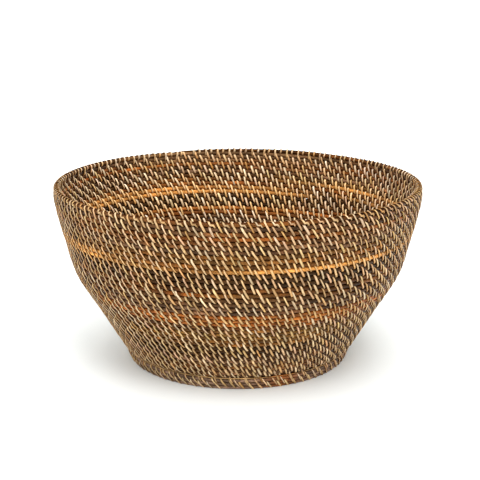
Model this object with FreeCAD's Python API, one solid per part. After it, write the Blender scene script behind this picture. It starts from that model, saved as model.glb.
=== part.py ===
"""Coiled rattan fruit basket, in millimetres.

One long coil of round rods spirals out from the middle of the base and up the wall.
Loops of flat splint bind each course to the course below it.
The origin is the middle of the resting plane and +Z is up.
"""
import FreeCAD, Part
import math
import os
from bisect import bisect_left
from functools import lru_cache

V = FreeCAD.Vector

# rods
ROD_RADIUS = 1.5  # in the base, at the rim and in the foot
PITCH = 3.45  # slant distance from one course to the next, in the base and at the rim
WALL_PITCH = 3.956  # and in the middle of the wall, where the rods are thicker too
PITCH_RISE = (12.0, 30.0)  # where the pitch grows, as distances down the wall from the rim
PITCH_FALL = (110.0, 146.0)  # and where it shrinks again
START_RADIUS = 3.2  # inner end of the coil
ROD_LENGTH = 2750.0  # longest length of rod a weaver works with
BUTT_GAP = 0.3  # between the ends of two lengths
TAPER_LENGTH = 110.0  # of the coil's last end, at the rim
TAPER_RADIUS = 0.5
TAPER_SECTIONS = 13

# outline of the coil's centre line: a flat base, a rounded edge, then the wall as radius and height
BASE_HEIGHT = 12.8
BASE_CORNER = 94.6  # where the base's plane meets the wall's slope
EDGE_FILLET = 6.0
EDGE_LEAN = math.radians(27)  # the wall's slope from vertical above the edge
WALL_OUTLINE = [
    (103.7, 29.0),
    (116.8, 51.4),
    (126.2, 66.3),
    (133.7, 81.0),
    (139.6, 103.2),
    (143.7, 118.2),
    (147.2, 133.0),
    (148.1, 140.1),
    (147.8, 145.5),
]

# foot: closed rings under the base's edge, and a thin strand above them
FOOT_RINGS = [(89.6, 1.4), (90.9, 4.6), (92.2, 7.8)]  # radius and height of each ring's centre
FOOT_STITCHES = 62
EDGE_STITCHES = 48  # long ones that join the foot to the base's edge
STRAND_RADIUS = 0.6
STRAND_CENTRE = (93.4, 10.0)

# splint
SPLINT_WIDTH = 2.0
SPLINT_THICKNESS = 0.4
LOOP_HALF_HEIGHT = 3.25  # inside a loop round two rods, where they are thinnest
LOOP_HALF_DEPTH = 2.15
FOOT_LOOP_HALF_HEIGHT = 3.1  # the lowest loops sit higher on their rods, clear of the floor
FOOT_LOOP_RISE = 0.2
EDGE_LOOP_HALF_DEPTH = 1.95
SHORT_LOOP_RADIUS = 1.58  # inside a loop round one rod
LEAN = math.radians(33)  # the top of each stitch leans towards the coil's start
STAGGER = 0.55  # share of a space by which each course is offset from the one below
LOWER_WALL_STITCHES = 71  # in a turn
UPPER_WALL_STITCHES = 82
UPPER_WALL_HEIGHT = 91.0
BASE_STITCH_SPACE = 8.3
BASE_STITCH_STEP = 7  # the base gains this many stitches at a time
SHORT_STITCH_OFFSET = 3.6  # from a rim stitch to the short one beside it
LAST_STITCH_GAP = 5.0  # from the last stitch to the coil's end
CLEARANCE = 2.3  # least distance between the middles of two splints that pass each other

# numerical settings
ARC_SPANS = 24  # in a turn, two arcs to a span
OUTLINE_POINTS = 3001

# the courses of the upper wall run level, and climb to the next course only at the back
CLIMB_ANGLE = math.radians(90)  # the middle of the climb
CLIMB_HALF_WIDTH = math.radians(50)
LEVELLING_LENGTH = 60.0  # of wall, over which the courses become level


def outline():
    """The coil's outline from the middle of the base to the rim, and where the base's flat part ends."""
    turned = math.pi / 2 - EDGE_LEAN
    reach = EDGE_FILLET * math.tan(turned / 2)
    slope = V(math.sin(EDGE_LEAN), 0, math.cos(EDGE_LEAN))
    corner = V(BASE_CORNER, 0, BASE_HEIGHT)
    flat_end = corner - V(reach, 0, 0)
    wall_start = corner + slope * reach
    centre = flat_end + V(0, 0, EDGE_FILLET)
    towards = (corner - centre).normalize()
    base = Part.LineSegment(V(0, 0, BASE_HEIGHT), flat_end)
    edge = Part.Arc(flat_end, centre + towards * EDGE_FILLET, wall_start)
    wall = Part.BSplineCurve()
    points = [wall_start] + [V(r, 0, z) for r, z in WALL_OUTLINE]
    wall.interpolate(Points=points, InitialTangent=slope, FinalTangent=V(-0.05, 0, 1))
    return Part.Wire([base.toShape(), edge.toShape(), wall.toShape()]), flat_end.x


def smooth_step(value, start=0.0, end=1.0):
    """A smooth rise from 0 to 1 as the value goes from start to end."""
    share = max(0.0, min(1.0, (value - start) / (end - start)))
    return share * share * (3 - 2 * share)


OUTLINE, FLAT_END = outline()
TABLE = [(p.x, p.z) for p in OUTLINE.discretize(Number=OUTLINE_POINTS)]
TABLE_STEP = OUTLINE.Length / (OUTLINE_POINTS - 1)


def pitch_at(distance):
    """Slant distance from one course to the next at a distance along the outline."""
    down = OUTLINE.Length - distance
    wide = smooth_step(down, *PITCH_RISE) - smooth_step(down, *PITCH_FALL)
    return PITCH + (WALL_PITCH - PITCH) * wide


def courses_to_points():
    """How many courses lie between the coil's start and each point of the table."""
    counts = [-START_RADIUS / PITCH]
    for i in range(OUTLINE_POINTS - 1):
        counts.append(counts[-1] + TABLE_STEP / pitch_at((i + 0.5) * TABLE_STEP))
    return counts


COURSES = courses_to_points()
START_ANGLE = CLIMB_ANGLE - math.pi - 2 * math.pi * COURSES[-1]
BASE_EDGE_ANGLE = START_ANGLE + 2 * math.pi * (FLAT_END - START_RADIUS) / PITCH
END_ANGLE = CLIMB_ANGLE + TAPER_LENGTH / TABLE[-1][0] / 2
RIM_ANGLE = END_ANGLE - 2 * math.pi  # where the rim's own rod starts


def outline_at(distance):
    """Radius and height at a distance along the outline, or straight on past its end."""
    place = distance / TABLE_STEP
    i = min(int(place), OUTLINE_POINTS - 2)
    share = place - i
    r = TABLE[i][0] + share * (TABLE[i + 1][0] - TABLE[i][0])
    z = TABLE[i][1] + share * (TABLE[i + 1][1] - TABLE[i][1])
    return r, z


def distance_after(courses):
    """Distance along the outline after a number of courses, or straight on past its end."""
    i = max(1, min(bisect_left(COURSES, courses), OUTLINE_POINTS - 1))
    share = (courses - COURSES[i - 1]) / (COURSES[i] - COURSES[i - 1])
    return (i - 1 + share) * TABLE_STEP


def coil_distance(angle):
    """Distance along the outline of the coil at an angle counted along the whole coil."""
    courses = (angle - START_ANGLE) / (2 * math.pi)
    around = (angle - CLIMB_ANGLE + math.pi) % (2 * math.pi) - math.pi
    climb = smooth_step(around, -CLIMB_HALF_WIDTH, CLIMB_HALF_WIDTH)
    lift = climb - (around + math.pi) / (2 * math.pi)
    level = smooth_step(distance_after(courses), FLAT_END, FLAT_END + LEVELLING_LENGTH)
    return distance_after(courses + lift * level)


def coil_point(angle):
    """Centre of the coil's rod at an angle counted along the whole coil."""
    r, z = outline_at(coil_distance(angle))
    return V(r * math.cos(angle), r * math.sin(angle), z)


def coil_tangent(angle):
    """Direction of the coil's rod, averaged over a few degrees."""
    step = 0.02
    tangent = coil_point(angle + step) - coil_point(angle - step)
    return tangent.normalize()


def biarc(start, start_tangent, end, end_tangent):
    """The three corner points of the two tangent arcs that join two points."""
    across = end - start
    a = 2 * (1 - start_tangent.dot(end_tangent))
    b = 2 * across.dot(start_tangent + end_tangent)
    c = -across.dot(across)
    if abs(a) < 1e-12:
        reach = -c / b
    else:
        reach = (-b + math.sqrt(b * b - 4 * a * c)) / (2 * a)
    first = start + start_tangent * reach
    second = end - end_tangent * reach
    return first, (first + second) * 0.5, second


def arc_middle(start, corner, end):
    """The middle point of the arc whose end tangents meet at the corner."""
    to_start = start - corner
    to_end = end - corner
    reach = to_start.Length
    cosine = to_start.dot(to_end) / (reach * to_end.Length)
    half = math.acos(max(-1.0, min(1.0, cosine))) / 2
    radius = reach * math.tan(half)
    bisector = to_start.normalize() + to_end.normalize()
    bisector.normalize()
    return corner + bisector * (radius / math.sin(half) - radius)


def section_at(angle, radius):
    """The rod's round section, its underside kept on the course below."""
    drop = V(0, 0, radius - ROD_RADIUS)
    return Part.Wire(Part.makeCircle(radius, coil_point(angle) + drop, coil_tangent(angle)))


def tapered_end(first_angle, last_angle):
    """The coil's last stretch, thinned so that it runs out on the course below."""
    sections = []
    for i in range(TAPER_SECTIONS):
        share = i / (TAPER_SECTIONS - 1)
        radius = ROD_RADIUS + share * (TAPER_RADIUS - ROD_RADIUS)
        sections.append(section_at(first_angle + share * (last_angle - first_angle), radius))
    return Part.makeLoft(sections, True, False)


def rod_radius(first_angle, last_angle):
    """Radius of the rod between two angles, to suit the closest courses it lies between."""
    closest = min(pitch_at(coil_distance(first_angle)), pitch_at(coil_distance(last_angle)))
    return ROD_RADIUS * closest / PITCH


def rod(first_angle, last_angle, radius):
    """A length of round rod along the coil."""
    spans = max(2, int(round((last_angle - first_angle) / (2 * math.pi) * ARC_SPANS)))
    angles = [first_angle + (last_angle - first_angle) * i / spans for i in range(spans + 1)]
    points = [coil_point(a) for a in angles]
    tangents = [coil_tangent(a) for a in angles]
    edges = []
    for i in range(spans):
        first, joint, second = biarc(points[i], tangents[i], points[i + 1], tangents[i + 1])
        early = arc_middle(points[i], first, joint)
        late = arc_middle(joint, second, points[i + 1])
        edges.append(Part.Arc(points[i], early, joint).toShape())
        edges.append(Part.Arc(joint, late, points[i + 1]).toShape())
    section = Part.Wire(Part.makeCircle(radius, points[0], tangents[0]))
    return Part.Wire(edges).makePipe(Part.Face(section))


def coil_length(first_angle, last_angle, steps=400):
    """Length of the coil between two angles."""
    total = 0.0
    step = (last_angle - first_angle) / steps
    for i in range(steps):
        r = math.hypot(*coil_point(first_angle + (i + 0.5) * step)[:2])
        total += r * step
    return total


def equal_lengths(first_angle, last_angle):
    """Angles that cut a stretch of coil into equal lengths a weaver can work with."""
    total = coil_length(first_angle, last_angle)
    count = math.ceil(total / ROD_LENGTH)
    cuts = [first_angle]
    run = 0.0
    step = math.radians(1)
    angle = first_angle
    while len(cuts) < count:
        r = math.hypot(*coil_point(angle)[:2])
        run += r * step
        angle += step
        if run >= total * len(cuts) / count:
            cuts.append(angle)
    return cuts + [last_angle]


def ring_loop(half_height, half_depth):
    """A leaning loop of splint round a rod that runs along Z, its height along Y."""
    def outline(extra):
        height = half_height + extra
        tall = V(0, height, -height * math.tan(LEAN))
        deep = V(half_depth + extra, 0, 0)
        if tall.Length > deep.Length:
            ellipse = Part.Ellipse(tall, deep, V(0, 0, 0))
        else:
            ellipse = Part.Ellipse(deep, tall, V(0, 0, 0))
        return Part.Wire(ellipse.toShape())

    flat = Part.Face(outline(SPLINT_THICKNESS)).cut(Part.Face(outline(0))).Faces[0]
    loop = flat.extrude(V(0, 0, SPLINT_WIDTH))
    loop.translate(V(0, 0, -SPLINT_WIDTH / 2))
    return loop


SHORT_LOOP = ring_loop(SHORT_LOOP_RADIUS, SHORT_LOOP_RADIUS)


@lru_cache(maxsize=None)
def long_loop(size):
    """A loop round two rods, larger in proportion where the rods are thicker."""
    return ring_loop(LOOP_HALF_HEIGHT * size, LOOP_HALF_DEPTH * size)


def place_loop(loop, middle, up, along):
    """A copy of a loop at a point, standing up and with the rods running along."""
    up = V(up).normalize()
    out = V(along).cross(up).normalize()
    along = out.cross(up) * -1
    turn = FreeCAD.Matrix(
        out.x, up.x, along.x, middle.x,
        out.y, up.y, along.y, middle.y,
        out.z, up.z, along.z, middle.z,
        0, 0, 0, 1,
    )
    copy = loop.copy()
    copy.Placement = FreeCAD.Placement(turn)
    return copy


def pair_loop(angle):
    """The loop that binds the coil at this angle to the course below it."""
    upper = coil_point(angle)
    lower = coil_point(angle - 2 * math.pi)
    size = max(1.0, round((upper - lower).Length / PITCH, 2))
    return place_loop(long_loop(size), (upper + lower) * 0.5, upper - lower, coil_tangent(angle))


def stitches_in_turn(angle):
    """How many stitches a turn holds at this place on the coil."""
    point = coil_point(angle)
    if angle < BASE_EDGE_ANGLE:
        wanted = 2 * math.pi * math.hypot(point.x, point.y) / BASE_STITCH_SPACE
        steps = math.ceil(wanted / BASE_STITCH_STEP)
        return min(steps * BASE_STITCH_STEP, LOWER_WALL_STITCHES)
    if point.z < UPPER_WALL_HEIGHT:
        return LOWER_WALL_STITCHES
    return UPPER_WALL_STITCHES


def passes_clear(angle, placed):
    """Does a splint here miss those it shares a rod or a gap with, one and two courses down?"""
    lean = math.tan(LEAN) * pitch_at(coil_distance(angle))
    r = math.hypot(*coil_point(angle)[:2])
    for courses in (1, 2):
        below = angle - 2 * math.pi * courses
        i = bisect_left(placed, below)
        for other in placed[max(0, i - 2):i + 2]:
            if abs((below - other) * r + courses * lean) < CLEARANCE:
                return False
    return True


def stitch_angles():
    """Angles along the coil of every stitch round two courses."""
    placed = []
    angle = START_ANGLE + 2 * math.pi
    while angle < END_ANGLE - LAST_STITCH_GAP / TABLE[-1][0]:
        moved = angle
        r = math.hypot(*coil_point(angle)[:2])
        while not passes_clear(moved, placed) and (moved - angle) * r < 4 * CLEARANCE:
            moved += 0.2 / r
        placed.append(moved)
        angle = max(angle, moved - 1.0 / r)
        angle += 2 * math.pi / (stitches_in_turn(angle) + STAGGER)
    return placed


def short_rim_loop(angle):
    """The short loop round the rim's rod alone, just before a rim stitch."""
    r = math.hypot(*coil_point(angle)[:2])
    angle -= SHORT_STITCH_OFFSET / r
    upper = coil_point(angle)
    lower = coil_point(angle - 2 * math.pi)
    return place_loop(SHORT_LOOP, upper, upper - lower, coil_tangent(angle))


def ring_point(centre, angle):
    """A point on a ring's centre line."""
    r, z = centre
    return V(r * math.cos(angle), r * math.sin(angle), z)


def foot_stitches(loop, lower, upper, phase, rise):
    """Loops round two rings of the foot, evenly spaced."""
    loops = []
    for i in range(FOOT_STITCHES):
        angle = 2 * math.pi * (i + phase) / FOOT_STITCHES - math.pi / 2
        low = ring_point(lower, angle)
        high = ring_point(upper, angle)
        up = (high - low).normalize()
        along = V(-math.sin(angle), math.cos(angle), 0)
        loops.append(place_loop(loop, (low + high) * 0.5 + up * rise, up, along))
    return loops


def lowest_stitches():
    """Loops round the two lower rings, worn flat at the resting plane."""
    loop = ring_loop(FOOT_LOOP_HALF_HEIGHT, LOOP_HALF_DEPTH)
    whole = foot_stitches(loop, FOOT_RINGS[0], FOOT_RINGS[1], 0.5, FOOT_LOOP_RISE)
    return [stitch.common(above_floor()).Solids[0] for stitch in whole]


def above_floor():
    """The space above the resting plane."""
    return Part.makeBox(400, 400, 20, V(-200, -200, 0))


def edge_stitches():
    """Long loops that join the foot's top ring to the nearest course of the coil."""
    loops = []
    edge_turn = round(BASE_EDGE_ANGLE / (2 * math.pi))
    for i in range(EDGE_STITCHES):
        angle = 2 * math.pi * (i + 0.5) / EDGE_STITCHES - math.pi / 2
        low = ring_point(FOOT_RINGS[-1], angle)
        courses = [coil_point(angle + 2 * math.pi * (edge_turn + n)) for n in range(-3, 4)]
        high = min(courses, key=low.distanceToPoint)
        half_height = low.distanceToPoint(high) / 2 + ROD_RADIUS + 0.3
        along = V(-math.sin(angle), math.cos(angle), 0)
        loop = ring_loop(half_height, EDGE_LOOP_HALF_DEPTH)
        loops.append(place_loop(loop, (low + high) * 0.5, high - low, along))
    return loops


def ring(centre, radius):
    """A closed ring of round rod."""
    r, z = centre
    return Part.makeTorus(r, radius, V(0, 0, z), V(0, 0, 1))


def add_foot(parts):
    """The foot's rings, strand and stitches."""
    lowest = lowest_stitches()
    second = foot_stitches(long_loop(1.0), FOOT_RINGS[1], FOOT_RINGS[2], 0.0, 0.0)
    for i, centre in enumerate(FOOT_RINGS):
        parts[f"foot_rod_{i + 1:02d}"] = ring(centre, ROD_RADIUS)
    # the lowest rod is worn flat underneath and pinched where its stitches pass
    worn = parts["foot_rod_01"].common(above_floor())
    parts["foot_rod_01"] = worn.cut(Part.makeCompound(lowest)).Solids[0]
    parts["foot_strand"] = ring(STRAND_CENTRE, STRAND_RADIUS)
    parts["foot_binding"] = Part.makeCompound(lowest + second)
    parts["foot_edge_binding"] = Part.makeCompound(edge_stitches())


def build():
    """Every piece of the basket, by node name."""
    parts = {}
    angles = stitch_angles()
    base_cuts = equal_lengths(START_ANGLE, BASE_EDGE_ANGLE)
    wall_cuts = equal_lengths(BASE_EDGE_ANGLE, RIM_ANGLE)
    stretches = [("base", base_cuts), ("wall", wall_cuts)]
    for name, cuts in stretches:
        for i in range(len(cuts) - 1):
            gap = BUTT_GAP / math.hypot(*coil_point(cuts[i + 1])[:2])
            radius = rod_radius(cuts[i], cuts[i + 1])
            parts[f"{name}_rod_{i + 1:02d}"] = rod(cuts[i], cuts[i + 1] - gap, radius)
            held = [a for a in angles if cuts[i] <= a < cuts[i + 1]]
            parts[f"{name}_binding_{i + 1:02d}"] = Part.makeCompound([pair_loop(a) for a in held])
    taper_angle = 2 * CLIMB_ANGLE - END_ANGLE
    rim = rod(RIM_ANGLE, taper_angle, ROD_RADIUS).fuse(tapered_end(taper_angle, END_ANGLE))
    parts["rim_rod"] = rim.removeSplitter().Solids[0]
    rim_angles = [a for a in angles if a >= RIM_ANGLE]
    rim_loops = [pair_loop(a) for a in rim_angles]
    rim_loops += [short_rim_loop(a) for a in rim_angles[1:]]
    parts["rim_binding"] = Part.makeCompound(rim_loops)
    add_foot(parts)
    return parts


os.makedirs("parts", exist_ok=True)
for node, shape in build().items():
    shape.exportStep(f"parts/{node}.step")
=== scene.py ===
"""A coiled rattan fruit basket on a pale floor in soft studio light.

Lengths in the shape functions are millimetres; meshes are made in metres.
"""
import math

import bpy
import numpy as np
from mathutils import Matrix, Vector


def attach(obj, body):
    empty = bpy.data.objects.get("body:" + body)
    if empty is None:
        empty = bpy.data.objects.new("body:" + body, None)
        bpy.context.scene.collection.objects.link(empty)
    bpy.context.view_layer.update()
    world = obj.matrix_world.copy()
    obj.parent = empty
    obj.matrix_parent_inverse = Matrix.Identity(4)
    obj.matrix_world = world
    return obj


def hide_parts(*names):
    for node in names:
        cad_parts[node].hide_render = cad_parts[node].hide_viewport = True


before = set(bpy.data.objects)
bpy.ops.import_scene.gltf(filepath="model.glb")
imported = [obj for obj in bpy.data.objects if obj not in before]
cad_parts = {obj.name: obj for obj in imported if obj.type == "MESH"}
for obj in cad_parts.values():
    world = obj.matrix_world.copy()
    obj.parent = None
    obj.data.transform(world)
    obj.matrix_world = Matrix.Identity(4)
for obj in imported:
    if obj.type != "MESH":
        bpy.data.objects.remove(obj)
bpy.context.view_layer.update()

rng = np.random.default_rng(11)
TURN = 2 * math.pi

# ---------------------------------------------------------------- sizes, as in the CAD

ROD_RADIUS = 1.5  # in the base, at the rim and in the foot
PITCH = 3.45  # from one course to the next, in the base and at the rim
WALL_PITCH = 3.956  # and in the middle of the wall, where the rods are thicker too
PITCH_RISE = (12.0, 30.0)  # distances down the wall over which the pitch grows
PITCH_FALL = (110.0, 146.0)  # and shrinks again
START_RADIUS = 3.2  # inner end of the coil
BASE_HEIGHT = 12.8
BASE_CORNER = 94.6  # where the base would meet the wall without its fillet
EDGE_FILLET = 6.0
EDGE_LEAN = math.radians(27)  # the wall's slope from vertical above the edge
OUTLINE_POINTS = 3001
WALL_OUTLINE = [  # radius and height
    (103.7, 29.0),
    (116.8, 51.4),
    (126.2, 66.3),
    (133.7, 81.0),
    (139.6, 103.2),
    (143.7, 118.2),
    (147.2, 133.0),
    (148.1, 140.1),
    (147.8, 145.5),
]
RIM_DIRECTION = (-0.05, 1.0)
CLIMB_ANGLE = math.radians(90)  # where the upper courses climb to the next
CLIMB_HALF_WIDTH = math.radians(50)
LEVELLING_LENGTH = 60.0  # of wall, over which the courses become level
ROD_LENGTH = 2750.0  # longest length of rod a weaver works with
BUTT_GAP = 0.3  # between the ends of two lengths
TAPER_LENGTH = 110.0  # of the coil's last end, at the rim
TAPER_RADIUS = 0.5
FOOT_RINGS = [(89.6, 1.4), (90.9, 4.6), (92.2, 7.8)]  # radius and height of each
EDGE_STITCHES = 48  # long ones that join the foot to the base's edge
STRAND_CENTRE = (93.4, 10.0)
STRAND_RADIUS = 0.6
STAGGER = 0.55  # share of a space by which each course is offset from the one below
LOWER_WALL_STITCHES = 71  # in a turn
UPPER_WALL_STITCHES = 82
UPPER_WALL_HEIGHT = 91.0
BASE_STITCH_SPACE = 8.3
BASE_STITCH_STEP = 7  # the base gains this many stitches at a time
LAST_STITCH_GAP = 5.0  # from the last stitch to the coil's end

# ---------------------------------------------------------------- sizes of the looks

# rods
FULLNESS = 1.19  # they press against each other, where the CAD leaves a gap
FOOT_FULLNESS = 1.08
SWAY_OUT = 0.10  # how far the coil strays from its smooth line
SWAY_UP = 0.05
SWELL = 0.03  # how far its thickness varies
MOST_SWELL = 0.02
END_SHARE = 0.8  # a rod is slightly narrower at its cut ends
ROD_SIDES = 12
ROD_STEP = 1.9  # between a rod's rings of vertices
FEWEST_RINGS = 24
RING_STEPS = 420
RING_WAVES = (9, 23, 14, 31)  # how often a foot ring wavers in a round, in four ways
RING_SWAY = 0.05  # in and out
RING_BOB = 0.04  # up and down
RING_SWELL = 0.02  # in thickness
STRAND_SIDES = 8

# splint
STRIP_WIDTH = 1.65
FOOT_STRIP_WIDTH = 1.5
STRIP_THICKNESS = 0.6
OUTER_SHARE = 0.50  # share of a stitch's advance that falls on its outer side
FOOT_OUTER_SHARE = 0.84
PASS_SHARE = 0.08  # and on each of its passes between the rods
CLEARANCE = 0.02  # from rod to strip
SLACK = (0.08, 0.07)  # mean and spread of what comes on top of it
MOST_SLACK = 0.3
WIDTH_SPREAD = 0.13  # from stitch to stitch
WIDTH_LIMITS = (0.7, 1.32)
SLOW_WIDTH_SPREAD = 0.10  # along a strip
SLOW_WIDTH_RATE = 0.11  # radians a stitch
SQUEEZED_WIDTH = 0.84  # a strip's width and thickness where it passes between rods
SQUEEZED_THICKNESS = 0.86
INNER_WIDTH = 1.15  # and on the inside of the basket
FOOT_STITCHES = 80  # in a round, closer together than the CAD's 62
SHORT_STITCH_OFFSET = 5.6  # from a rim stitch to the short one beside it
SHORT_STITCH_REACH = 3.0  # half the advance of a stitch's outer side
RIM_STITCH_REACH = 2.5
EDGE_STITCH_REACH = 2.6
REACH_SPREAD = 0.12
REACH_LIMITS = (0.6, 1.4)
STITCH_SCATTER = 0.35  # how far stitches stray from even spacing
SHORT_STITCH_SCATTER = 0.3
FOOT_STITCH_SCATTER = 0.4
EDGE_STITCH_SCATTER = 0.8
WORN_RISE = 0.3  # the lowest stitches lie this much higher, clear of the ground
BASE_SAMPLES = 3  # points on each quarter turn of a stitch
WALL_SAMPLES = 4
FINE_SAMPLES = 5


# ---------------------------------------------------------------- the coil

def clamped_spline(points, first_slope, last_slope, count):
    """Points along the smooth curve through the given ones with the given end directions."""
    p = np.array(points, float)
    h = np.linalg.norm(np.diff(p, axis=0), axis=1)
    n = len(p)
    a = np.zeros((n, n))
    b = np.zeros((n, 2))
    a[0, 0] = a[-1, -1] = 1.0
    b[0], b[-1] = first_slope, last_slope
    for i in range(1, n - 1):
        a[i, i - 1] = 1 / h[i - 1]
        a[i, i] = 2 * (1 / h[i - 1] + 1 / h[i])
        a[i, i + 1] = 1 / h[i]
        b[i] = 3 * ((p[i] - p[i - 1]) / h[i - 1] ** 2 + (p[i + 1] - p[i]) / h[i] ** 2)
    slope = np.linalg.solve(a, b)
    out = []
    for i in range(n - 1):
        t = np.linspace(0, 1, count, endpoint=i == n - 2)[:, None]
        out.append(
            p[i] * (2 * t**3 - 3 * t**2 + 1)
            + p[i + 1] * (-2 * t**3 + 3 * t**2)
            + h[i] * slope[i] * (t**3 - 2 * t**2 + t)
            + h[i] * slope[i + 1] * (t**3 - t**2)
        )
    return np.vstack(out)


EDGE_POINTS = 40
SPLINE_POINTS = 120
OVERRUN = 6.0  # the outline runs on past the rim by this much
OVERRUN_LEAN = 0.3


def make_outline():
    """The coil's outline as (distance, radius, height), and where its flat part ends."""
    turned = math.pi / 2 - EDGE_LEAN
    reach = EDGE_FILLET * math.tan(turned / 2)
    slope = np.array([math.sin(EDGE_LEAN), math.cos(EDGE_LEAN)])
    flat_end = BASE_CORNER - reach
    wall_start = np.array([BASE_CORNER, BASE_HEIGHT]) + slope * reach
    flat = np.array([[0.0, BASE_HEIGHT]])
    bend = np.linspace(0, turned, EDGE_POINTS)
    edge = np.c_[
        flat_end + EDGE_FILLET * np.sin(bend),
        BASE_HEIGHT + EDGE_FILLET * (1 - np.cos(bend)),
    ]
    wall = clamped_spline([tuple(wall_start)] + WALL_OUTLINE, slope, RIM_DIRECTION, SPLINE_POINTS)
    points = np.vstack([flat, edge, wall[1:]])
    distance = np.r_[0, np.cumsum(np.linalg.norm(np.diff(points, axis=0), axis=1))]
    return distance, points[:, 0], points[:, 1], flat_end


OUT_D, OUT_R, OUT_Z, FLAT_END = make_outline()
LENGTH = OUT_D[-1]
OUT_D = np.r_[OUT_D, LENGTH + OVERRUN]
OUT_R = np.r_[OUT_R, OUT_R[-1] - OVERRUN_LEAN]
OUT_Z = np.r_[OUT_Z, OUT_Z[-1] + OVERRUN]


def smooth_step(value, start=0.0, end=1.0):
    """A smooth rise from 0 to 1 as the value goes from start to end."""
    share = np.clip((np.asarray(value, float) - start) / (end - start), 0, 1)
    return share * share * (3 - 2 * share)


def pitch_at(distance):
    """Slant distance between courses at a distance along the outline."""
    down = LENGTH - distance
    wide = smooth_step(down, *PITCH_RISE) - smooth_step(down, *PITCH_FALL)
    return PITCH + (WALL_PITCH - PITCH) * wide


PLACES = np.linspace(0, LENGTH, OUTLINE_POINTS)
COURSES = np.cumsum(np.r_[0, np.diff(PLACES) / pitch_at((PLACES[1:] + PLACES[:-1]) / 2)])
COURSES -= START_RADIUS / PITCH
PLACES = np.r_[PLACES, LENGTH + 2 * PITCH]
START_ANGLE = CLIMB_ANGLE - math.pi - TURN * COURSES[-1]
COURSES = np.r_[COURSES, COURSES[-1] + 2]
BASE_EDGE_ANGLE = START_ANGLE + TURN * (FLAT_END - START_RADIUS) / PITCH
END_ANGLE = CLIMB_ANGLE + TAPER_LENGTH / WALL_OUTLINE[-1][0] / 2
RIM_ANGLE = END_ANGLE - TURN


def smooth_noise(seed, spacing_turns):
    """A smooth random curve along the coil, between about -1 and 1."""
    local = np.random.default_rng(seed)
    knots = np.arange(START_ANGLE - TURN, END_ANGLE + TURN, TURN * spacing_turns)
    values = local.normal(0, 0.5, len(knots))

    def at(angle):
        place = (np.asarray(angle) - knots[0]) / (TURN * spacing_turns)
        place = place % (len(knots) - 1)
        i = place.astype(int)
        share = place - i
        share = share * share * (3 - 2 * share)
        return values[i] * (1 - share) + values[i + 1] * share

    return at


sway_out = smooth_noise(1, 1 / 31)
sway_up = smooth_noise(2, 1 / 23)
swell = smooth_noise(3, 1 / 47)


def distance_after(courses):
    """Distance along the outline at which the coil has made so many courses."""
    return np.interp(courses, COURSES, PLACES)


def coil_distance(angle):
    """Distance along the outline. The upper courses run level and climb only at the back."""
    angle = np.asarray(angle, float)
    courses = (angle - START_ANGLE) / TURN
    around = (angle - CLIMB_ANGLE + math.pi) % TURN - math.pi
    lift = smooth_step(around, -CLIMB_HALF_WIDTH, CLIMB_HALF_WIDTH) - (around + math.pi) / TURN
    level = smooth_step(distance_after(courses), FLAT_END, FLAT_END + LEVELLING_LENGTH)
    return distance_after(courses + lift * level)


def plain_point(angle):
    """Centre of the coil at an angle counted along the whole coil."""
    angle = np.asarray(angle, float)
    d = coil_distance(angle)
    r = np.interp(d, OUT_D, OUT_R)
    z = np.interp(d, OUT_D, OUT_Z)
    return np.stack([r * np.cos(angle), r * np.sin(angle), z], -1)


def unit(v):
    """Vectors brought to length 1."""
    return v / np.linalg.norm(v, axis=-1, keepdims=True)


TANGENT_REACH = 0.02  # radians either way over which the coil's direction is taken
SLOPE_REACH = 2.0  # and millimetres either way for the slope of the wall


def coil_frame(angle):
    """Tangent, direction up the wall, and outward normal."""
    angle = np.asarray(angle, float)
    tangent = unit(plain_point(angle + TANGENT_REACH) - plain_point(angle - TANGENT_REACH))
    d = coil_distance(angle)
    dr = np.interp(d + SLOPE_REACH, OUT_D, OUT_R) - np.interp(d - SLOPE_REACH, OUT_D, OUT_R)
    dz = np.interp(d + SLOPE_REACH, OUT_D, OUT_Z) - np.interp(d - SLOPE_REACH, OUT_D, OUT_Z)
    up = unit(np.stack([dr * np.cos(angle), dr * np.sin(angle), dz], -1))
    normal = unit(np.cross(tangent, up))
    return tangent, np.cross(normal, tangent), normal


def coil_point(angle):
    """Centre of the coil's rod, with the slight sway of real rattan."""
    _, up, normal = coil_frame(angle)
    out = SWAY_OUT * sway_out(angle)[..., None]
    rise = SWAY_UP * sway_up(angle)[..., None]
    return plain_point(angle) + normal * out + up * rise


def radius_at(angle):
    """The coil's distance from the basket's axis."""
    return np.interp(coil_distance(angle), OUT_D, OUT_R)


CUT_POINTS = 4000


def equal_cuts(first, last):
    """Angles that cut a stretch of coil into equal lengths a weaver can work with."""
    a = np.linspace(first, last, CUT_POINTS)
    run = np.r_[0, np.cumsum(radius_at((a[1:] + a[:-1]) / 2) * np.diff(a))]
    count = math.ceil(run[-1] / ROD_LENGTH)
    return np.interp(np.linspace(0, run[-1], count + 1), run, a)


# ---------------------------------------------------------------- colours

BLACK_BROWN = np.array([0.040, 0.016, 0.004])
DARK_BROWN = np.array([0.074, 0.027, 0.006])
BROWN = np.array([0.130, 0.052, 0.011])
OLIVE = np.array([0.160, 0.084, 0.017])
RED_BROWN = np.array([0.215, 0.063, 0.011])
MAUVE_BROWN = np.array([0.125, 0.059, 0.028])
FOOT_BROWN = np.array([0.200, 0.120, 0.080])
ORANGE_RED = np.array([0.45, 0.155, 0.030])
OCHRE = np.array([0.80, 0.35, 0.085])
GOLD = np.array([0.90, 0.51, 0.170])
LIGHT_BROWN = np.array([0.34, 0.20, 0.095])

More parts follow.
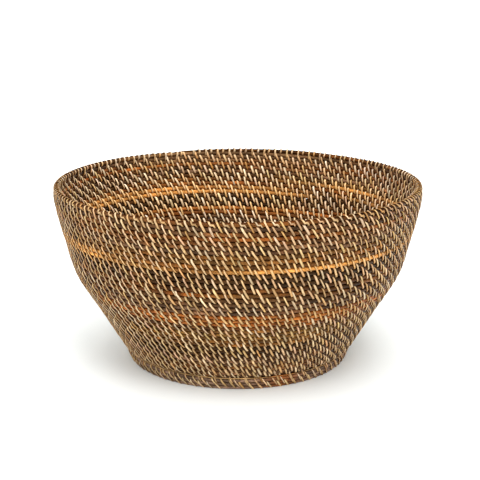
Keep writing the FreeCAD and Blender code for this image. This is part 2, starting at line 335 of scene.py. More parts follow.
# colour of the rods by distance down the wall from the rim
ROD_BANDS = [
    (0.0, DARK_BROWN),
    (4.0, MAUVE_BROWN * 0.9),
    (6.5, DARK_BROWN),
    (10.5, RED_BROWN),
    (14.0, DARK_BROWN),
    (20.0, MAUVE_BROWN),
    (23.0, DARK_BROWN),
    (28.0, BROWN),
    (31.0, RED_BROWN),
    (34.0, BROWN),
    (39.0, BLACK_BROWN),
    (52.0, BLACK_BROWN),
    (55.0, RED_BROWN),
    (59.0, DARK_BROWN),
    (70.0, MAUVE_BROWN * 0.8),
    (76.0, RED_BROWN),
    (86.0, RED_BROWN),
    (90.0, DARK_BROWN),
    (98.0, OLIVE * 0.5 + BROWN * 0.5),
    (106.0, BROWN),
    (112.0, BLACK_BROWN),
    (121.0, BLACK_BROWN),
    (127.0, MAUVE_BROWN),
    (135.0, DARK_BROWN),
    (145.0, MAUVE_BROWN),
    (175.0, MAUVE_BROWN),
    (190.0, DARK_BROWN),
    (240.0, BROWN),
]
BAND_PLACES = np.array([b[0] for b in ROD_BANDS])
BAND_COLOURS = np.array([b[1] for b in ROD_BANDS])

# single turns of brighter rod: distance down the wall at the front, colour,
# and the strength at angles in degrees from the front
STREAKS = [
    (36.5, OCHRE, [
        (-215, 0), (-200, 0.8), (-140, 0.9), (-50, 1.0), (-35, 0.35), (-8, 0.35),
        (2, 0.75), (45, 0.75), (60, 0.45), (80, 0.6), (110, 0.3), (150, 0),
    ]),
    (32.6, OCHRE, [
        (-205, 0), (-190, 0.45), (-150, 0.7), (-120, 0.5), (-95, 0.3), (-76, 0.8), (-46, 0.8), (-36, 0),
    ]),
    (0.0, LIGHT_BROWN, [(-235, 0), (-210, 0.6), (-150, 0.6), (-125, 0)]),
    (3.5, LIGHT_BROWN, [(-230, 0), (-205, 0.5), (-150, 0.5), (-130, 0)]),
    (6.9, LIGHT_BROWN, [(-225, 0), (-205, 0.4), (-155, 0.5), (-135, 0)]),
    (52.4, ORANGE_RED, [(-215, 0), (-200, 0.8), (-150, 0.7), (-120, 0)]),
    (56.3, OCHRE, [(-10, 0), (-4, 0.25), (6, 0.25), (12, 0)]),
    (80.0, ORANGE_RED, [(-15, 0), (-5, 0.4), (40, 0.4), (60, 0)]),
    (28.6, OCHRE, [(60, 0), (80, 0.7), (140, 0.7), (170, 0)]),
]
GILDING = 0.7  # how much of the streak's gold the stitches over it take
BAND_DRIFT = 2.8  # how far the bands wander up and down the wall
HUE_SWING = np.array([0.12, -0.02, -0.22])  # towards red and away from blue
PATCH_DEPTH = 0.60  # of the darker and lighter patches on plain rod
MOTTLE_DEPTH = 0.70
DRIFT_DEPTH = 0.30
STREAK_PATCH_DEPTH = 0.30  # and on a streak
STREAK_MOTTLE_DEPTH = 0.35
LIFT_OF_ALL = 0.07
WARM_POWERS = np.array([0.80, 1.12, 1.70])  # shade darkens blue the most
tone_drift = smooth_noise(4, 1 / 5)
tone_patch = smooth_noise(5, 1 / 37)
tone_mottle = smooth_noise(6, 1 / 130)
tone_hue = smooth_noise(7, 1 / 23)


def streak_strength(angle, down, stops):
    """Strength of one streak along the coil."""
    turns = -math.pi / 2 + TURN * np.arange(math.ceil(START_ANGLE / TURN), 1)
    front = turns[np.argmin(np.abs(LENGTH - coil_distance(turns) - down))]
    places, strengths = np.array(stops).T
    return np.interp(np.degrees(angle - front), places, strengths)


def gilding(angle):
    """How far the stitches over a streak of bright rod take its golden tint."""
    angle = np.asarray(angle)
    amount = np.zeros(angle.shape)
    for down, _, stops in STREAKS:
        for rod in (angle, angle - TURN):
            amount = np.maximum(amount, streak_strength(rod, down, stops))
    return GILDING * amount


def warm(shade):
    """Shade that deepens the colour too, as light does between brown surfaces."""
    return np.asarray(shade)[..., None] ** WARM_POWERS


def rod_colour(angle):
    """Base colour of the rod: bands up the wall, drifting and patchy along the coil."""
    patch = tone_patch(angle)
    mottle = tone_mottle(angle)
    drifted = LENGTH - coil_distance(angle) + BAND_DRIFT * tone_drift(angle)
    colour = np.stack([np.interp(drifted, BAND_PLACES, BAND_COLOURS[:, i]) for i in range(3)], -1)
    drift = tone_drift(angle * 1.3 + 40)  # away from the drift of the bands
    strength = np.exp(LIFT_OF_ALL + PATCH_DEPTH * patch + MOTTLE_DEPTH * mottle + DRIFT_DEPTH * drift)
    hue = np.clip(tone_hue(angle), -1, 1)[..., None]
    colour = colour * strength[..., None] * (1 + hue * HUE_SWING)
    shade = np.exp(STREAK_PATCH_DEPTH * patch + STREAK_MOTTLE_DEPTH * mottle)[..., None]
    uneven = np.clip(0.8 + 0.45 * tone_patch(angle * 1.7), 0.25, 1)
    for down, streak, stops in STREAKS:
        amount = (uneven * streak_strength(angle, down, stops))[..., None]
        colour = colour * (1 - amount) + streak * shade * amount
    return colour


STRAW = np.array([0.68, 0.49, 0.280])
TAN = np.array([0.53, 0.33, 0.150])
PALE = np.array([0.79, 0.64, 0.45])
PINKISH = np.array([0.65, 0.41, 0.26])
YELLOW = np.array([0.65, 0.46, 0.20])
ORANGE = np.array([0.52, 0.25, 0.065])
STRAND_COLOUR = TAN * 0.8
SPLINT_COLOURS = np.array([STRAW, TAN, PALE, PINKISH, YELLOW, ORANGE])
SPLINT_SHARES = [0.34, 0.22, 0.14, 0.12, 0.11, 0.07]
STITCHES_PER_STRIP = 60
OWN_SHARE = 0.55  # of a stitch's colour; the rest is its strip's
LIGHTNESS_SPREAD = 0.16


def splint_colours(count):
    """A colour for each stitch, alike along a strip and varied from stitch to stitch."""
    kinds = len(SPLINT_COLOURS)
    own = SPLINT_COLOURS[rng.choice(kinds, count, p=SPLINT_SHARES)]
    strips = rng.choice(kinds, count // STITCHES_PER_STRIP + 2, p=SPLINT_SHARES)
    shared = SPLINT_COLOURS[np.repeat(strips, STITCHES_PER_STRIP)[:count]]
    lightness = np.exp(rng.normal(0, LIGHTNESS_SPREAD, count))[:, None]
    return (OWN_SHARE * own + (1 - OWN_SHARE) * shared) * lightness


# ---------------------------------------------------------------- materials

NOISE_RANGE = (0.3, 0.7)  # where most values of a noise texture lie
LIFT = 0.9  # light fibres and flecks stand out this much as far as dark ones
DULLER = 0.14
GLOSSIER = 0.12
BUMP_STRENGTH = 0.6


def node(tree, kind, **settings):
    made = tree.nodes.new(kind)
    for key, value in settings.items():
        setattr(made, key, value)
    return made


def noise(tree, vector, scale, detail, roughness):
    """The value of a noise texture."""
    made = node(tree, "ShaderNodeTexNoise")
    made.inputs["Scale"].default_value = scale
    made.inputs["Detail"].default_value = detail
    made.inputs["Roughness"].default_value = roughness
    tree.links.new(vector, made.inputs["Vector"])
    return made.outputs["Fac"]


def mapped(tree, value, low, high, source=(0.0, 1.0)):
    """A value carried over from its own range to the one from low to high."""
    made = node(tree, "ShaderNodeMapRange")
    tree.links.new(value, made.inputs["Value"])
    made.inputs["From Min"].default_value = source[0]
    made.inputs["From Max"].default_value = source[1]
    made.inputs["To Min"].default_value = low
    made.inputs["To Max"].default_value = high
    return made.outputs[0]


def combined(tree, operation, first, second):
    """Two values added or multiplied."""
    made = node(tree, "ShaderNodeMath", operation=operation)
    tree.links.new(first, made.inputs[0])
    tree.links.new(second, made.inputs[1])
    return made.outputs[0]


def rattan_material(name, roughness, specular, tint, grain_scale, grain_depth, fleck_depth, bump):
    """Procedural rattan: the piece's colour with its painted light and shade, with long fibres, small
    flecks and pores.
    """
    material = bpy.data.materials.new(name)
    material.use_nodes = True
    tree = material.node_tree
    link = tree.links.new
    shader = tree.nodes["Principled BSDF"]
    colour = node(tree, "ShaderNodeAttribute", attribute_name="tone")
    grain = node(tree, "ShaderNodeAttribute", attribute_name="grain").outputs["Vector"]

    stretch = node(tree, "ShaderNodeVectorMath", operation="MULTIPLY")
    link(grain, stretch.inputs[0])
    stretch.inputs[1].default_value = grain_scale
    fibres = noise(tree, stretch.outputs[0], 1.0, 5.0, 0.6)
    flecks = noise(tree, grain, 0.55, 3.0, 0.5)

    streaky = mapped(tree, fibres, 1 - grain_depth, 1 + grain_depth * LIFT, NOISE_RANGE)
    flecked = mapped(tree, flecks, 1 - fleck_depth, 1 + fleck_depth * LIFT, NOISE_RANGE)
    tinted = node(tree, "ShaderNodeVectorMath", operation="SCALE")
    link(colour.outputs["Color"], tinted.inputs[0])
    link(combined(tree, "MULTIPLY", streaky, flecked), tinted.inputs["Scale"])
    link(tinted.outputs[0], shader.inputs["Base Color"])

    raised = node(tree, "ShaderNodeBump")
    raised.inputs["Strength"].default_value = BUMP_STRENGTH
    raised.inputs["Distance"].default_value = bump
    link(combined(tree, "ADD", fibres, flecks), raised.inputs["Height"])
    link(raised.outputs[0], shader.inputs["Normal"])
    link(mapped(tree, fibres, roughness - GLOSSIER, roughness + DULLER), shader.inputs["Roughness"])
    # specular level from the tone's alpha: the gloss, dimmed as painted shade in the crevices and between
    # the rods
    link(mapped(tree, colour.outputs["Alpha"], 0.0, specular), shader.inputs["Specular IOR Level"])
    shader.inputs["Specular Tint"].default_value = tint
    return material


rod_material = rattan_material(
    "rod", roughness=0.36, specular=0.20, tint=(1.0, 0.68, 0.42, 1.0),
    grain_scale=(0.16, 2.6, 1.0), grain_depth=0.30, fleck_depth=0.50, bump=0.00020,
)
splint_material = rattan_material(
    "splint", roughness=0.50, specular=0.20, tint=(1.0, 0.88, 0.76, 1.0),
    grain_scale=(0.22, 3.2, 1.0), grain_depth=0.22, fleck_depth=0.24, bump=0.00012,
)


# ---------------------------------------------------------------- meshes

GRAIN_SPREAD = 500.0  # pieces take their grain from far apart, so no two are alike
STRIP_GRAIN_SPREAD = 50.0
ROUND_GRAIN = 2.6


def make_piece(name, verts, faces, tone, gloss, grain, material):
    """A piece that stands for the CAD node of the same name. Lengths are millimetres."""
    corners, sizes = faces
    mesh = bpy.data.meshes.new(name)
    mesh.vertices.add(verts.size // 3)
    mesh.vertices.foreach_set("co", (verts * 0.001).astype(np.float32).ravel())
    mesh.loops.add(len(corners))
    mesh.loops.foreach_set("vertex_index", corners.astype(np.int32))
    mesh.polygons.add(len(sizes))
    starts = np.r_[0, np.cumsum(sizes)[:-1]]
    mesh.polygons.foreach_set("loop_start", starts.astype(np.int32))
    mesh.polygons.foreach_set("use_smooth", np.ones(len(sizes), bool))
    mesh.update(calc_edges=True)
    mesh.validate()
    # the tone holds the colour with its painted light and shade, and its alpha the gloss, dimmed as painted
    # shade
    colour = mesh.attributes.new("tone", "FLOAT_COLOR", "POINT")
    colour.data.foreach_set("color", np.c_[tone.reshape(-1, 3), gloss].astype(np.float32).ravel())
    vector = mesh.attributes.new("grain", "FLOAT_VECTOR", "POINT")
    vector.data.foreach_set("vector", grain.astype(np.float32).ravel())
    mesh.materials.append(material)
    obj = bpy.data.objects.new("v_" + name, mesh)
    bpy.context.scene.collection.objects.link(obj)
    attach(obj, "root")
    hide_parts(name)


def tube_faces(rings, sides, closed=False):
    """The corners of a tube's faces in a row, and each face's size. An open tube has end caps."""
    i = np.arange(rings if closed else rings - 1)[:, None]
    j = np.arange(sides)[None, :]
    after = (i + 1) % rings
    beside = (j + 1) % sides
    quads = np.stack(
        [i * sides + j, i * sides + beside, after * sides + beside, after * sides + j], -1
    )
    corners = quads.ravel()
    sizes = np.full(len(corners) // 4, 4)
    if closed:
        return corners, sizes
    cap = np.arange(sides)
    return np.r_[corners, cap[::-1], cap + (rings - 1) * sides], np.r_[sizes, sides, sides]


def round_tube(centre, across, normal, radius, turn):
    """Vertices of a tube round a centre line."""
    ring = np.cos(turn)[None, :, None] * normal[:, None] + np.sin(turn)[None, :, None] * across[:, None]
    return (centre[:, None] + ring * radius[:, None, None]).reshape(-1, 3)


def rod_grain(along, turn, radius):
    """Grain coordinates on a rod, from the distance along it and the turn round it."""
    grain = np.empty((len(along), len(turn), 3))
    grain[..., 0] = along[:, None]
    grain[..., 1] = np.cos(turn) * radius
    grain[..., 2] = np.sin(turn) * radius * ROUND_GRAIN
    return grain


# painted shade: the sides of a rod that face its neighbours are painted darker, where the crevices between
# the rods are shaded
CREVICE_SHADE_DEPTH = 0.78
CREVICE_SHADE_RANGE = (0.40, 0.98)  # from where on a rod's side the painted crevice shade begins to where it is full
# from where on a rod's side its gloss is dimmed, as painted shade on its reflections, to where it is gone
GLOSS_SHADE_RANGE = (0.35, 0.90)


def crevice_shade(turn):
    """Painted shade on the sides of a rod that face its neighbours, where the crevices between the rods are
    shaded.
    """
    return 1 - CREVICE_SHADE_DEPTH * smooth_step(np.abs(np.sin(turn)), *CREVICE_SHADE_RANGE)


def shaded_gloss(turn):
    """Gloss, dimmed as painted shade on the sides of a rod that face its neighbours, where its reflections
    are shaded.
    """
    return 1 - smooth_step(np.abs(np.sin(turn)), *GLOSS_SHADE_RANGE)


def full_radius(angle):
    """Radius at which the rods fill the space between courses."""
    return ROD_RADIUS * FULLNESS * pitch_at(coil_distance(angle)) / PITCH


def thinned(angle):
    """How far the coil has thinned towards its end."""
    left = (END_ANGLE - np.asarray(angle)) * WALL_OUTLINE[-1][0]
    return np.clip(1 - left / TAPER_LENGTH, 0, 1)


def rod_piece(name, first, last):
    """One length of the coil's rod. The last length thins out on the course below."""
    middle = (first + last) / 2
    count = max(FEWEST_RINGS, int((last - first) * radius_at(middle) / ROD_STEP))
    angle = np.linspace(first, last, count)
    full = full_radius(angle)
    radius = full * np.clip(1 + SWELL * swell(angle), 1 - MOST_SWELL, 1 + MOST_SWELL)
    thin = thinned(angle)
    radius = radius * (1 - thin) + TAPER_RADIUS * thin
    radius[[0, -1]] *= END_SHARE
    _, up, normal = coil_frame(angle)
    centre = coil_point(angle) - up * ((full - TAPER_RADIUS) * thin)[:, None]
    turn = np.linspace(0, TURN, ROD_SIDES, endpoint=False)
    verts = round_tube(centre, up, normal, radius, turn)
    along = (angle - first) * radius_at(middle) + rng.uniform(0, GRAIN_SPREAD)
    grain = rod_grain(along, turn, ROD_RADIUS)
    # the rod's colour, darkened by painted shade on the sides that face its neighbours
    tone = rod_colour(angle)[:, None] * warm(crevice_shade(turn))
    # its gloss dimmed as painted shade on the sides that face its neighbours
    gloss = np.tile(shaded_gloss(turn), count)
    make_piece(name, verts, tube_faces(count, ROD_SIDES), tone, gloss, grain, rod_material)


FOOT_PATCHES = ((5, 0.25), (17, 0.3))  # how often in a round, and how deep
FOOT_BLOTCHES = 0.35
BLOTCH_BLUR = (0.3, 0.4, 0.3)
RUST_COLOUR = RED_BROWN * 1.5
RUST_ANGLE = 292  # a rusty patch on the foot, right of the front
RUST_SPREAD = 9
RUST_SHARE = 0.8


def ring_piece(name, ring, radius, colour, material, sides=ROD_SIDES, floor=None):
    """A closed ring of rod, from its radius and height."""
    angle = np.linspace(0, TURN, RING_STEPS, endpoint=False)
    local = np.random.default_rng(int(ring[1] * 100))  # each ring has a seed of its own
    phase = local.uniform(0, TURN, len(RING_WAVES))
    broad, fine, bob, swelling = np.sin(np.outer(RING_WAVES, angle) + phase[:, None])
    out = np.stack([np.cos(angle), np.sin(angle), 0 * angle], -1)
    rise = np.repeat([[0.0, 0.0, 1.0]], RING_STEPS, axis=0)
    r = ring[0] + RING_SWAY * (broad + fine)
    z = ring[1] + RING_BOB * bob
    turn = np.linspace(0, TURN, sides, endpoint=False)
    centre = out * r[:, None] + rise * z[:, None]
    verts = round_tube(centre, rise, out, radius * (1 + RING_SWELL * swelling), turn)
    if floor is not None:
        verts[:, 2] = np.maximum(verts[:, 2], floor)
    grain = rod_grain(angle * ring[0] + local.uniform(0, GRAIN_SPREAD), turn, radius)
    patches = [depth * np.sin(often * angle + p) for (often, depth), p in zip(FOOT_PATCHES, phase[::2])]
    blotches = np.convolve(local.normal(0, FOOT_BLOTCHES, RING_STEPS + 2), BLOTCH_BLUR, "valid")
    strength = (np.exp(sum(patches)) * np.exp(blotches))[:, None]
    rust = RUST_SHARE * np.exp(-((np.degrees(angle) - RUST_ANGLE) / RUST_SPREAD) ** 2)[:, None]
    mixed = colour * (1 - rust) + RUST_COLOUR * rust
    # the ring's colour, darkened by painted shade on the sides that face its neighbours
    tone = (mixed * strength)[:, None] * warm(crevice_shade(turn))
    # its gloss dimmed as painted shade on the sides that face its neighbours
    gloss = np.tile(shaded_gloss(turn), RING_STEPS)
    faces = tube_faces(RING_STEPS, sides, closed=True)
    make_piece(name, verts, faces, tone, gloss, grain, material)


# cross-section of the splint: share of the width, share of the thickness, and how light it is painted,
# the edges and the underside painted darker as shade, the rounded top lighter as painted light
SECTION = np.array([
    (-0.50, 0.10, 0.06),
    (-0.46, 0.78, 0.30),
    (-0.26, 1.04, 0.99),
    (0.26, 1.04, 0.99),
    (0.46, 0.78, 0.30),
    (0.50, 0.10, 0.06),
    (0.00, 0.00, 0.12),
])


# painted light and shade on the splint: each stitch painted lighter towards its top, as light from above
# falls, and darker towards its bottom; its inner side painted lighter and its outer side darker
BOTTOM_LIGHT = 0.76  # of a stitch
TOP_LIGHT = 1.14
PASS_LIGHT = 0.36  # where it passes between the rods
OUTER_LIGHT = 0.93
INNER_LIGHT = 1.18
# range of a stitch's facing over which it goes from painted shade between the rods to full light
PASS_SHADE_RANGE = (0.0, 0.75)
# range of a stitch's facing over which its gloss goes from none, as painted shade between the rods, to full
PASS_GLOSS_SHADE_RANGE = (0.2, 0.8)


def winding(samples):
    """Steps round one stitch: its outer side from top to bottom, then its inner side back up.

    Gives each step's rod (true for the upper one), the turn round it in radians, whether it
    is on the inner side, and the share of its side that is behind it, by length.
    """
    right = math.pi / 2
    quarters = [
        (True, np.linspace(right, 0, samples)),
        (False, np.linspace(0, -right, samples)),
        (False, np.linspace(-right, -math.pi, samples)[1:]),
        (True, np.linspace(math.pi, right, samples)[:-1]),
    ]
    on_upper = np.concatenate([np.full(len(turns), side) for side, turns in quarters])
    turn = np.concatenate([turns for _, turns in quarters])
    inner = np.arange(len(turn)) >= 2 * samples
    turned = np.where(inner, (-right - turn) % TURN, right - turn)
    arm = ROD_RADIUS + STRIP_THICKNESS / 2
    share = (turned * arm + PITCH * (on_upper == inner)) / (math.pi * arm + PITCH)
    return on_upper, turn, inner, share


def winding_angles(centres, reach, inner, share):
    """Angle round the basket of every step of every stitch."""
    next_centre = np.r_[centres[1:], 2 * centres[-1] - centres[-2]]
    next_reach = np.r_[reach[1:], reach[-1]]
    passing = PASS_SHARE * (next_centre - centres)
    outer_start = centres - reach
    inner_start = centres + reach + passing
    inner_end = next_centre - next_reach - passing
    outer_angle = outer_start[:, None] + 2 * reach[:, None] * share
    inner_angle = inner_start[:, None] + (inner_end - inner_start)[:, None] * share
    return np.where(inner, inner_angle, outer_angle)


def strip_widths(count, per, plain_width):
    """Width at each step of a strip, changing slowly along it and from stitch to stitch."""
    slow = np.sin(np.arange(count) * SLOW_WIDTH_RATE + rng.uniform(0, TURN))
    own = np.clip(rng.normal(1, WIDTH_SPREAD, count), *WIDTH_LIMITS)
    width = plain_width * (1 + SLOW_WIDTH_SPREAD * slow) * own
    middle = np.arange(count) + 0.25  # of each stitch's outer side
    return np.interp(np.arange(count * per) / per, middle, width).reshape(count, per)


def strip_piece(
    name, centres, reach, upper_at, lower_at,
    radius=ROD_RADIUS * FULLNESS, plain_width=STRIP_WIDTH, single=None,
    samples=FINE_SAMPLES, floor=None, gilt=None,
):
    """A continuous splint wound round pairs of rods.

    centres are the stitches' angles and reach the half advance of each outer side, both in radians.
    upper_at and lower_at give the rods' centres at an angle. single marks stitches round the upper rod
    alone, and gilt is how golden each stitch is.
    """
    count = len(centres)
    on_upper, turn, inner, share = winding(samples)
    per = len(turn)
    facing = np.abs(np.cos(turn))  # 1 on the stitch's faces, 0 where it passes between rods
    angle = winding_angles(centres, reach, inner, share)

    upper = upper_at(angle)
    lower = lower_at(angle)
    gap = unit(upper - lower)
    if single is not None:
        on_upper = on_upper | single[:, None]
    centre = np.where(on_upper[..., None], upper, lower)
    around = np.stack([-np.sin(angle), np.cos(angle), 0 * angle], -1)
    outward = unit(np.cross(around, gap))
    direction = np.cos(turn)[:, None] * outward + np.sin(turn)[:, None] * gap
    slack = np.clip(rng.normal(*SLACK, (count, 1)), 0, MOST_SLACK)
    distance = np.reshape(radius, (-1, 1)) + CLEARANCE + slack * facing
    path = (centre + direction * distance[..., None]).reshape(-1, 3)
    travel = unit(np.gradient(path, axis=0))
    across = unit(np.cross(travel, direction.reshape(-1, 3)))
    face_out = unit(np.cross(across, travel))

    width = strip_widths(count, per, plain_width) * np.where(inner, INNER_WIDTH, 1.0)
    width = width * (SQUEEZED_WIDTH + (1 - SQUEEZED_WIDTH) * facing)
    thickness = STRIP_THICKNESS * (SQUEEZED_THICKNESS + (1 - SQUEEZED_THICKNESS) * facing)
    section_across, section_out, section_light = SECTION.T
    sideways = np.outer(width, section_across)
    upwards = np.outer(np.tile(thickness, count), section_out)
    verts = path[:, None] + across[:, None] * sideways[..., None] + face_out[:, None] * upwards[..., None]
    if floor is not None:
        verts[..., 2] = np.maximum(verts[..., 2], floor)

    rings = len(path)
    sides = len(SECTION)
    length = np.r_[0, np.cumsum(np.linalg.norm(np.diff(path, axis=0), axis=1))]
    grain = np.empty((rings, sides, 3))
    grain[..., 0] = length[:, None] + rng.uniform(0, GRAIN_SPREAD)
    grain[..., 1] = sideways
    grain[..., 2] = rng.uniform(0, STRIP_GRAIN_SPREAD)

    # painted light and shade: a stitch is painted palest near its top, where light from above falls, and
    # painted dark as shade where it passes between the rods; its inner side painted lighter and its outer
    # side darker
    height = np.where(inner, share, 1 - share)
    shade = (BOTTOM_LIGHT + (TOP_LIGHT - BOTTOM_LIGHT) * height) * np.where(inner, INNER_LIGHT, OUTER_LIGHT)
    shade = shade * (PASS_LIGHT + (1 - PASS_LIGHT) * smooth_step(facing, *PASS_SHADE_RANGE))
    colours = splint_colours(count)
    if gilt is not None:
        colours = colours * (1 - gilt[:, None]) + GOLD * gilt[:, None]
    light = np.outer(np.tile(shade, count), section_light)
    tone = np.repeat(colours, per, axis=0)[:, None] * warm(light)
    # gloss dimmed as painted shade where the strip passes between the rods
    gloss = np.repeat(np.tile(smooth_step(facing, *PASS_GLOSS_SHADE_RANGE), count), sides)
    faces = tube_faces(rings, sides)
    make_piece(name, verts, faces, tone, gloss, grain, splint_material)


# ---------------------------------------------------------------- stitches

def stitches_in_turn(angle):
    """How many stitches a turn holds at this place on the coil."""
    if angle < BASE_EDGE_ANGLE:
        wanted = TURN * float(radius_at(angle)) / BASE_STITCH_SPACE
        return min(math.ceil(wanted / BASE_STITCH_STEP) * BASE_STITCH_STEP, LOWER_WALL_STITCHES)
    height = float(np.interp(coil_distance(angle), OUT_D, OUT_Z))
    return LOWER_WALL_STITCHES if height < UPPER_WALL_HEIGHT else UPPER_WALL_STITCHES


def stitch_angles():
    """Angles of all the stitches along the coil."""
    placed = []
    angle = START_ANGLE + TURN
    while angle < END_ANGLE - LAST_STITCH_GAP / OUT_R[-1]:
        placed.append(angle)
        angle += TURN / (stitches_in_turn(angle) + STAGGER)
    placed = np.array(placed)
    return placed + rng.normal(0, STITCH_SCATTER, len(placed)) / radius_at(placed)


def coil_below(angle):
    return coil_point(angle - TURN)


def binding(name, first, last, samples):
    """The strip that binds one length of the coil to the course below."""
    held = STITCHES[(STITCHES >= first) & (STITCHES < last)]
    reach = OUTER_SHARE / 2 * TURN / (np.array([stitches_in_turn(a) for a in held]) + STAGGER)
    reach = reach * np.clip(rng.normal(1, REACH_SPREAD, len(held)), *REACH_LIMITS)
    strip_piece(
        name, held, reach, coil_point, coil_below,
        radius=full_radius(held), samples=samples, gilt=gilding(held),
    )


def rim_top(angle):
    """What the rim's stitches go over, lowered where the last rod thins out."""
    _, up, _ = coil_frame(angle)
    drop = 2 * (full_radius(angle) - TAPER_RADIUS) * thinned(angle)
    return coil_point(angle) - up * drop[..., None]


def rim_binding():
    """Each stitch at the rim has a short one just before it, round the top rod alone."""
    held = STITCHES[STITCHES >= RIM_ANGLE]
    radius = radius_at(held)
    offset = SHORT_STITCH_OFFSET + rng.normal(0, SHORT_STITCH_SCATTER, len(held))
    centres = np.stack([held - offset / radius, held], -1).ravel()
    single = np.tile([True, False], len(held))
    reach = np.where(single, SHORT_STITCH_REACH, RIM_STITCH_REACH) / np.repeat(radius, 2)
    strip_piece("rim_binding", centres, reach, rim_top, coil_below, single=single)


def ring_at(ring):
    """Gives the points of a level ring, from its radius and height."""
    r, z = ring

    def at(angle):
        return np.stack([r * np.cos(angle), r * np.sin(angle), np.full(angle.shape, z)], -1)

    return at


def edge_course(angle):
    """The coil's course nearest to the foot's top ring."""
    target = ring_at(FOOT_RINGS[-1])(angle)
    turns = np.round(BASE_EDGE_ANGLE / TURN) + np.arange(-3, 4)
    options = np.stack([coil_point(angle % TURN + TURN * t) for t in turns])
    best = np.argmin(np.linalg.norm(options - target, axis=-1), axis=0)
    return np.take_along_axis(options, best[None, ..., None], axis=0)[0]


def foot_binding():
    """Two rounds of stitches, from the top pair of rods to the bottom pair, in one strip."""
    step = TURN / (FOOT_STITCHES + 0.5)
    centres = np.arange(2 * FOOT_STITCHES) * step - math.pi / 2
    centres = centres + rng.normal(0, FOOT_STITCH_SCATTER, len(centres)) / FOOT_RINGS[0][0]
    low_turn = TURN - math.pi / 2  # where the strip moves down to the bottom pair
    half_change = 0.1
    bottom = (FOOT_RINGS[0][0], FOOT_RINGS[0][1] + WORN_RISE)

    def blend(angle, first, second):
        share = np.clip((angle - low_turn) / (2 * half_change) + 0.5, 0, 1)[..., None]
        return ring_at(first)(angle) * (1 - share) + ring_at(second)(angle) * share

    def upper(angle):
        return blend(angle, FOOT_RINGS[2], FOOT_RINGS[1])

    def lower(angle):
        return blend(angle, FOOT_RINGS[1], bottom)

    reach = np.full(len(centres), FOOT_OUTER_SHARE / 2 * step)
    strip_piece(
        "foot_binding", centres, reach, upper, lower,
        radius=ROD_RADIUS * FOOT_FULLNESS, plain_width=FOOT_STRIP_WIDTH, floor=0.0,
    )


def edge_binding():
    """Long stitches from the foot's top ring to the edge of the base."""
    step = TURN / EDGE_STITCHES
    centres = (np.arange(EDGE_STITCHES) + 0.5) * step - math.pi / 2
    centres = centres + rng.normal(0, EDGE_STITCH_SCATTER, EDGE_STITCHES) / FOOT_RINGS[2][0]
    reach = np.full(EDGE_STITCHES, EDGE_STITCH_REACH) / FOOT_RINGS[2][0]
    strip_piece(
        "foot_edge_binding", centres, reach, edge_course, ring_at(FOOT_RINGS[2]),
        radius=ROD_RADIUS * FOOT_FULLNESS, plain_width=FOOT_STRIP_WIDTH,
    )


# ---------------------------------------------------------------- build

STITCHES = stitch_angles()
base_cuts = equal_cuts(START_ANGLE, BASE_EDGE_ANGLE)
wall_cuts = equal_cuts(BASE_EDGE_ANGLE, RIM_ANGLE)
for part, cuts, samples in (("base", base_cuts, BASE_SAMPLES), ("wall", wall_cuts, WALL_SAMPLES)):
    for i in range(len(cuts) - 1):
        gap = BUTT_GAP / float(radius_at(cuts[i + 1]))
        rod_piece(f"{part}_rod_{i + 1:02d}", cuts[i], cuts[i + 1] - gap)
        binding(f"{part}_binding_{i + 1:02d}", cuts[i], cuts[i + 1], samples)
rod_piece("rim_rod", RIM_ANGLE, END_ANGLE)
rim_binding()
for i, ring in enumerate(FOOT_RINGS):
    ring_piece(
        f"foot_rod_{i + 1:02d}", ring, ROD_RADIUS * FOOT_FULLNESS, FOOT_BROWN, rod_material,
        floor=0.0 if i == 0 else None,
    )
ring_piece(
    "foot_strand", STRAND_CENTRE, STRAND_RADIUS, STRAND_COLOUR, splint_material,
    sides=STRAND_SIDES,
)
foot_binding()
edge_binding()


# ---------------------------------------------------------------- stage

def studio_material(name, colour, roughness):
    material = bpy.data.materials.new(name)
    material.use_nodes = True
    shader = material.node_tree.nodes["Principled BSDF"]
    shader.inputs["Base Color"].default_value = (*colour, 1)
    shader.inputs["Roughness"].default_value = roughness
    return material


# the floor and its backdrop, in metres
FLOOR_FRONT = -4.0
FLOOR_BACK = 1.2
BACKDROP_BEND = 1.2
BACKDROP_TOP = 5.0
FLOOR_HALF_WIDTH = 5.0
FLOOR_COLOUR = (0.90, 0.93, 0.925)
FLOOR_ROUGHNESS = 0.7
BEND_SPANS = 15


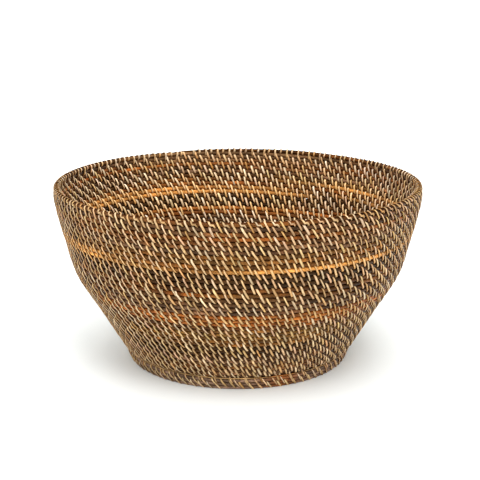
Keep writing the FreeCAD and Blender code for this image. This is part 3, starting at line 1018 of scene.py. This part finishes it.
def sweep():
    """A floor that curves up into a backdrop."""
    line = [(FLOOR_FRONT, 0.0), (FLOOR_BACK, 0.0)]
    for t in np.linspace(0, math.pi / 2, BEND_SPANS + 1)[1:]:
        line.append((FLOOR_BACK + BACKDROP_BEND * math.sin(t), BACKDROP_BEND * (1 - math.cos(t))))
    line.append((FLOOR_BACK + BACKDROP_BEND, BACKDROP_TOP))
    verts = [(x, y, z) for y, z in line for x in (-FLOOR_HALF_WIDTH, FLOOR_HALF_WIDTH)]
    faces = [(2 * i, 2 * i + 1, 2 * i + 3, 2 * i + 2) for i in range(len(line) - 1)]
    mesh = bpy.data.meshes.new("floor")
    mesh.from_pydata(verts, [], faces)
    for polygon in mesh.polygons:
        polygon.use_smooth = True
    mesh.materials.append(studio_material("floor", FLOOR_COLOUR, FLOOR_ROUGHNESS))
    obj = bpy.data.objects.new("floor", mesh)
    bpy.context.scene.collection.objects.link(obj)


def area_light(name, place, target, size, power):
    light = bpy.data.lights.new(name, "AREA")
    light.shape = "RECTANGLE"
    light.size, light.size_y = size
    light.energy = power
    obj = bpy.data.objects.new(name, light)
    obj.location = place
    obj.rotation_euler = (Vector(target) - Vector(place)).to_track_quat("-Z", "Y").to_euler()
    bpy.context.scene.collection.objects.link(obj)


# name, place, point aimed at, width and height in metres, and power in watts
LIGHTS = [
    ("key", (0.45, -1.15, 1.6), (0, 0, 0.08), (1.0, 1.0), 18),
    ("fill", (-1.0, -0.9, 1.5), (0, 0, 0.08), (1.2, 1.2), 10),
    ("top", (0, -0.1, 2.0), (0, 0, 0.05), (1.4, 1.4), 19),
    ("backdrop", (0, 0.9, 1.9), (0, 2.4, 1.4), (3.0, 0.8), 45),
]

WORLD_STRENGTH = 0.82

sweep()
for light in LIGHTS:
    area_light(*light)

world = bpy.data.worlds.new("studio")
world.use_nodes = True
world.node_tree.nodes["Background"].inputs["Color"].default_value = (1, 1, 1, 1)
world.node_tree.nodes["Background"].inputs["Strength"].default_value = WORLD_STRENGTH
bpy.context.scene.world = world
bpy.context.scene.view_settings.view_transform = "Standard"

CAMERA_PLACE = (0.00165, -0.898, 0.330)
CAMERA_TILT = math.radians(14.58)  # below level
LENS = 83.27
SENSOR_WIDTH = 36.0

camera_data = bpy.data.cameras.new("camera")
camera_data.lens = LENS
camera_data.sensor_width = SENSOR_WIDTH
camera = bpy.data.objects.new("camera", camera_data)
camera.location = CAMERA_PLACE
camera.rotation_euler = (math.pi / 2 - CAMERA_TILT, 0, 0)
bpy.context.scene.collection.objects.link(camera)
bpy.context.scene.camera = camera
